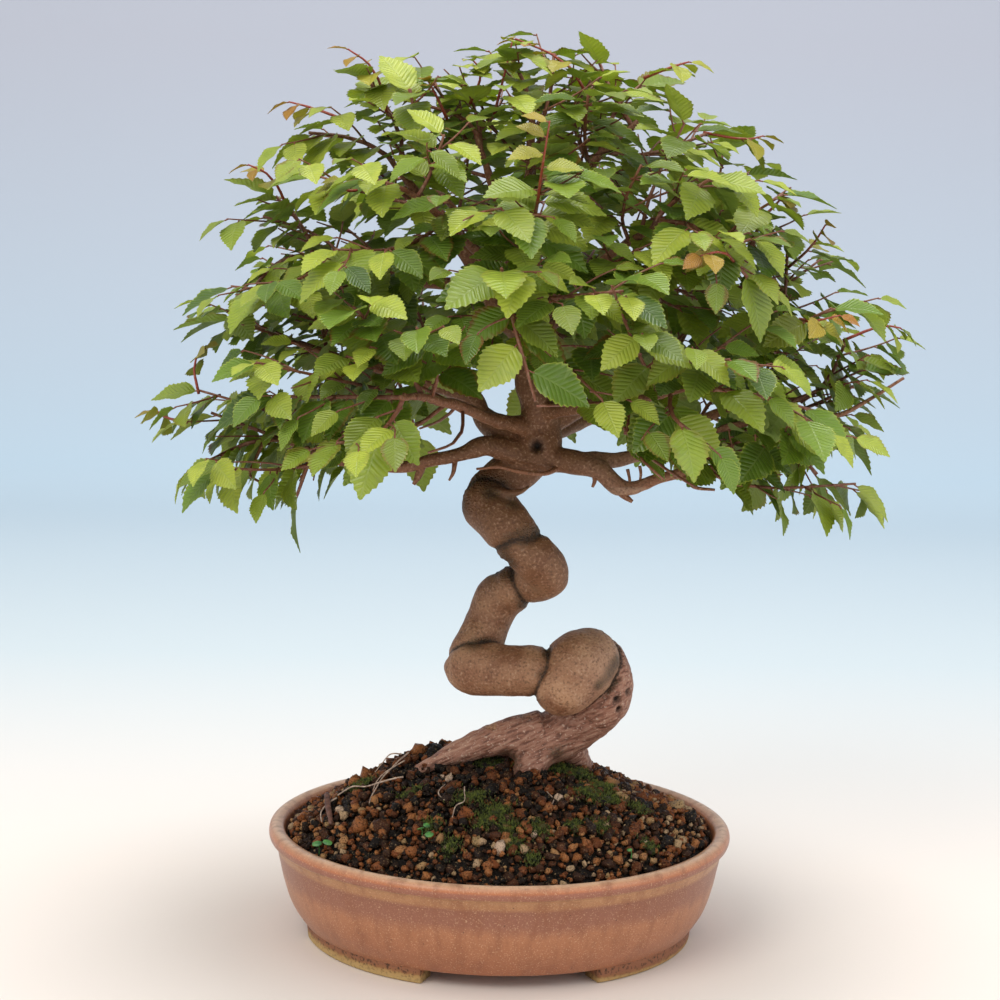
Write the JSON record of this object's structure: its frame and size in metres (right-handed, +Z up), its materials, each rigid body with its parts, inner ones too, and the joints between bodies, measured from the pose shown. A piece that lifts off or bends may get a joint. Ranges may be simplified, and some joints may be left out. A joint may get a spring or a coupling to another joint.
{
  "type": "korean hornbeam bonsai",
  "caption": "Bonsai of korean hornbeam: coiled trunk, leafy crown and moss-patched soil in an oval footed ceramic pot.",
  "frame": {"origin": "middle of the bounding box of the plant and pot, on the surface that the feet stand on", "axes": "+Z up along the tree, front of the pot and crown towards -Y, +X to the right seen from the front"},
  "size_m": [0.3722, 0.2818, 0.4626],
  "materials": {
    "pot_glaze": "matte",
    "drain_mesh": "matte",
    "soil": "matte",
    "bark": "matte",
    "leaf_young": "satin",
    "leaf_mature": "satin"
  },
  "bodies": {
    "root": {"pot": "pot_glaze", "drain_mesh_left": "drain_mesh", "drain_mesh_right": "drain_mesh", "soil": "soil", "trunk": "bark", "shoot_01": "leaf_young", "shoot_02": "leaf_young", "shoot_03": "leaf_young", "shoot_04": "leaf_young", "shoot_05": "leaf_young", "shoot_06": "leaf_young", "shoot_07": "leaf_young", "shoot_08": "leaf_young", "shoot_09": "leaf_young", "shoot_10": "leaf_young", "shoot_11": "leaf_young", "shoot_12": "leaf_young", "shoot_13": "leaf_young", "shoot_14": "leaf_young", "shoot_15": "leaf_young", "shoot_16": "leaf_young", "shoot_17": "leaf_young", "shoot_18": "leaf_young", "shoot_19": "leaf_young", "shoot_20": "leaf_young", "shoot_21": "leaf_young", "shoot_22": "leaf_young", "shoot_23": "leaf_mature", "shoot_24": "leaf_mature", "shoot_25": "leaf_mature", "shoot_26": "leaf_mature", "shoot_27": "leaf_mature", "shoot_28": "leaf_mature", "shoot_29": "leaf_mature", "shoot_30": "leaf_mature", "shoot_31": "leaf_mature", "shoot_32": "leaf_mature", "shoot_33": "leaf_mature", "shoot_34": "leaf_mature", "shoot_35": "leaf_mature", "shoot_36": "leaf_mature", "shoot_37": "leaf_mature", "shoot_38": "leaf_mature", "shoot_39": "leaf_mature", "shoot_40": "leaf_mature", "shoot_41": "leaf_mature", "shoot_42": "leaf_mature", "shoot_43": "leaf_mature", "shoot_44": "leaf_mature", "shoot_45": "leaf_mature", "shoot_46": "leaf_mature", "shoot_47": "leaf_mature", "shoot_48": "leaf_mature", "shoot_49": "leaf_mature", "shoot_50": "leaf_mature", "shoot_51": "leaf_mature", "shoot_52": "leaf_mature"}
  },
  "joints": []
}
